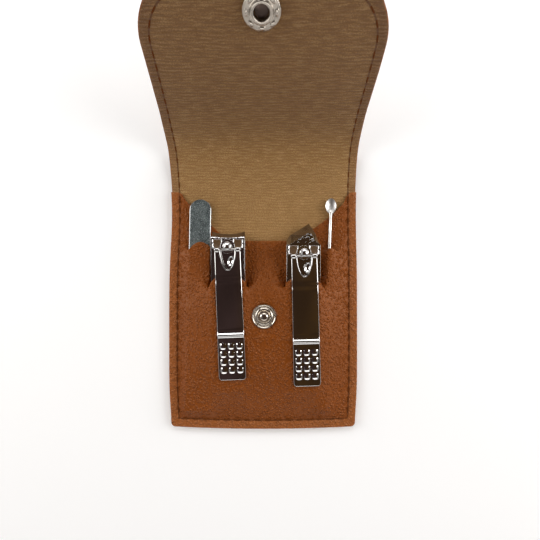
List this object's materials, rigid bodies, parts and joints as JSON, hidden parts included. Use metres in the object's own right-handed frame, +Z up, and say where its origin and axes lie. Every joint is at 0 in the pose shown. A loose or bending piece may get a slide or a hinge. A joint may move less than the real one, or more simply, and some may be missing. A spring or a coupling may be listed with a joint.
{
  "type": "manicure set case",
  "caption": "Snap-closed leatherette pouch lying open, with a nail file, an ear pick and a straight and a slanted nail clipper in its slit pocket.",
  "frame": {"origin": "centre of the back panel's outer face, which the open pouch rests on", "axes": "+Z up out of the resting face to the viewer, +Y towards the flap, +X to the right"},
  "size_m": [0.071, 0.1349, 0.0555],
  "materials": {
    "leatherette": "fine pebbled grain, satin",
    "lining": "ribbed khaki cloth, matt",
    "thread": "dark brown waxed thread",
    "snap_metal": "nickel plated, soft polish",
    "file_steel": "fine abrasive faces with bright bevels",
    "pick_steel": "polished steel wire",
    "clipper_chrome": "mirror chrome",
    "pin_chrome": "mirror chrome"
  },
  "bodies": {
    "pouch": {"back_cover": "leatherette", "back_lining": "lining", "pocket_panel": "leatherette", "pocket_stitching": "thread", "snap_stud": "snap_metal", "stud_rivet": "snap_metal"},
    "spine": {"spine_cover": "leatherette", "spine_lining": "lining", "spine_stitching": "thread"},
    "flap": {"flap_cover": "leatherette", "flap_lining": "lining", "flap_stitching": "thread", "snap_socket": "snap_metal", "socket_spring": "snap_metal", "snap_cap": "snap_metal"},
    "file": {"nail_file": "file_steel"},
    "pick": {"ear_pick": "pick_steel"},
    "straight_clipper_base": {"straight_clipper_lower_jaw": "clipper_chrome", "straight_clipper_tail_rivet": "pin_chrome"},
    "straight_clipper_upper": {"straight_clipper_upper_jaw": "clipper_chrome"},
    "straight_clipper_pin": {"straight_clipper_pivot_pin": "pin_chrome"},
    "straight_clipper_lever_body": {"straight_clipper_lever": "clipper_chrome"},
    "slanted_clipper_base": {"slanted_clipper_lower_jaw": "clipper_chrome", "slanted_clipper_tail_rivet": "pin_chrome"},
    "slanted_clipper_upper": {"slanted_clipper_upper_jaw": "clipper_chrome"},
    "slanted_clipper_pin": {"slanted_clipper_pivot_pin": "pin_chrome"},
    "slanted_clipper_lever_body": {"slanted_clipper_lever": "clipper_chrome"}
  },
  "joints": [
    {"name": "spine_fold", "type": "hinge", "parent": "pouch", "child": "spine", "pos_m": [0, 0.0465, 0.0016], "axis": [1, 0, 0], "range_deg": [-8, 82]},
    {"name": "flap_fold", "type": "hinge", "parent": "spine", "child": "flap", "pos_m": [0, 0.0572, 0.0031], "axis": [1, 0, 0], "range_deg": [-52.5, 41]},
    {"name": "file_slide", "type": "slide", "parent": "pouch", "child": "file", "axis": [-0.0209, -0.9998, 0], "range_m": [-0.014, 0]},
    {"name": "pick_slide", "type": "slide", "parent": "pouch", "child": "pick", "axis": [-0.0366, -0.9993, 0], "range_m": [-0.0135, 0]},
    {"name": "straight_clipper_slide", "type": "slide", "parent": "pouch", "child": "straight_clipper_base", "axis": [0, -0.9988, -0.0495], "range_m": [-0.027, 0]},
    {"name": "straight_jaw_squeeze", "type": "hinge", "parent": "straight_clipper_base", "child": "straight_clipper_upper", "pos_m": [-0.01285, -0.0265, 0.0038], "axis": [-1, 0, 0], "range_deg": [0, 1.6], "stiffness_Nm_per_rad": 0.5, "springref_deg": -1.15},
    {"name": "straight_post_swivel", "type": "hinge", "parent": "straight_clipper_base", "child": "straight_clipper_pin", "pos_m": [-0.01285, 0.0221, 0.00895], "axis": [0, 0, 1], "range_deg": [-20, 4]},
    {"name": "straight_lever_flip", "type": "hinge", "parent": "straight_clipper_pin", "child": "straight_clipper_lever_body", "pos_m": [-0.0128, 0.0209, 0.00895], "axis": [0.9993, 0.0366, 0], "range_deg": [-150, 0]},
    {"name": "slanted_clipper_slide", "type": "slide", "parent": "pouch", "child": "slanted_clipper_base", "axis": [0, -0.9988, -0.0495], "range_m": [-0.024, 0]},
    {"name": "slanted_jaw_squeeze", "type": "hinge", "parent": "slanted_clipper_base", "child": "slanted_clipper_upper", "pos_m": [0.0149, -0.0288, 0.0038], "axis": [-1, 0, 0], "range_deg": [0, 1.6], "stiffness_Nm_per_rad": 0.5, "springref_deg": -1.15},
    {"name": "slanted_post_swivel", "type": "hinge", "parent": "slanted_clipper_base", "child": "slanted_clipper_pin", "pos_m": [0.0149, 0.0198, 0.00895], "axis": [0, 0, 1], "range_deg": [-10, 20]},
    {"name": "slanted_lever_flip", "type": "hinge", "parent": "slanted_clipper_pin", "child": "slanted_clipper_lever_body", "pos_m": [0.01494, 0.0186, 0.00895], "axis": [0.9996, 0.0279, 0], "range_deg": [-150, 0]}
  ]
}
